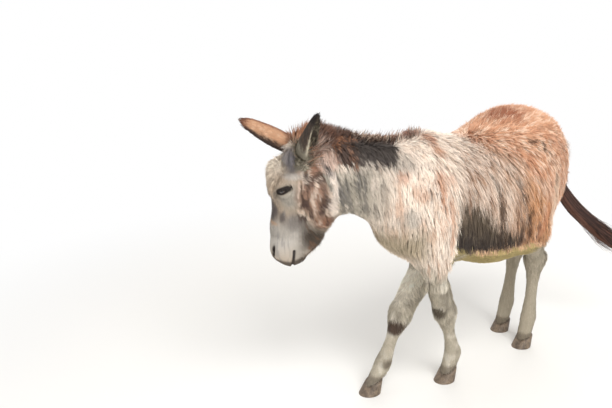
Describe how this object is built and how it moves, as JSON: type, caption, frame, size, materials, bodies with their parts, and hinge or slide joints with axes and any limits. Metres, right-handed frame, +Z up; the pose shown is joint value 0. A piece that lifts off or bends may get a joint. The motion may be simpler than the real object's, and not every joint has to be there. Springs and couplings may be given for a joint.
{
  "type": "donkey",
  "caption": "Life-size donkey with a shaggy spotted coat, walking with its head low and turned to its right, and its hooves flat on the floor.",
  "frame": {"origin": "on the floor under the middle of the animal's bounding box", "axes": "-X is the way the animal walks, -Y is its left side, +Z is up"},
  "size_m": [1.8582, 0.6428, 1.2099],
  "materials": {
    "coat": "shaggy hair, cream and rust brown",
    "dark_hair": "long dark brown hair",
    "horn": "dull hoof horn",
    "eye": "wet and glossy"
  },
  "bodies": {
    "root": {"head": "coat", "eye_left": "eye", "eye_right": "eye", "ear_left": "coat", "ear_right": "coat", "neck": "coat", "trunk": "coat", "hindquarters": "coat", "tail_dock": "coat", "tail_switch": "dark_hair", "foreleg_left_upper": "coat", "foreleg_left_lower": "coat", "fore_hoof_left": "horn", "foreleg_right_upper": "coat", "foreleg_right_lower": "coat", "fore_hoof_right": "horn", "hindleg_left_upper": "coat", "hindleg_left_lower": "coat", "hind_hoof_left": "horn", "hindleg_right_upper": "coat", "hindleg_right_lower": "coat", "hind_hoof_right": "horn"}
  },
  "joints": []
}
